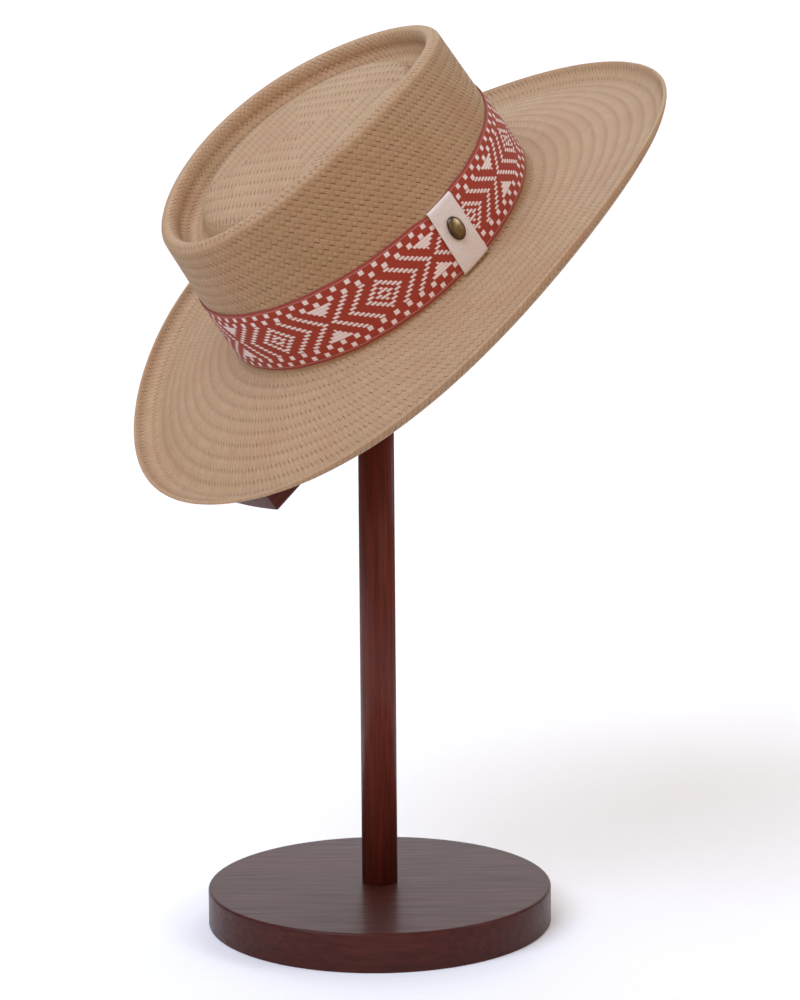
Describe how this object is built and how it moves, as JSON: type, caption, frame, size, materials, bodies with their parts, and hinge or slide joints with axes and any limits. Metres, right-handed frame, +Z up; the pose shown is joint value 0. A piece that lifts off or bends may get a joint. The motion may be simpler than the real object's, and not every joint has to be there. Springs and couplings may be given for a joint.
{
  "type": "gambler hat on a display stand",
  "caption": "Woven straw gambler hat with a sunk telescope crown, wide curled brim and patterned ribbon band, tilted on a plain wooden post stand.",
  "frame": {"origin": "centre of the stand's round foot, on the surface it stands on", "axes": "+Z up along the post; the front of the hat points to -X, -Y and down, and the wearer's left to +X and -Y"},
  "size_m": [0.3081, 0.3222, 0.5159],
  "materials": {
    "straw": "woven straw, matte with a slight sheen",
    "jacquard_ribbon": "woven ribbon, brick red with a cream figure",
    "cream_ribbon": "fine twill ribbon",
    "antique_brass": "darkened, polished on the high points",
    "stained_wood": "dark red-brown stain under satin varnish"
  },
  "bodies": {
    "root": {"hat_body": "straw", "hat_band": "jacquard_ribbon", "band_tab": "cream_ribbon", "tab_stud": "antique_brass", "stand_base": "stained_wood", "stand_post": "stained_wood", "stand_board": "stained_wood", "stand_peg": "stained_wood"}
  },
  "joints": []
}
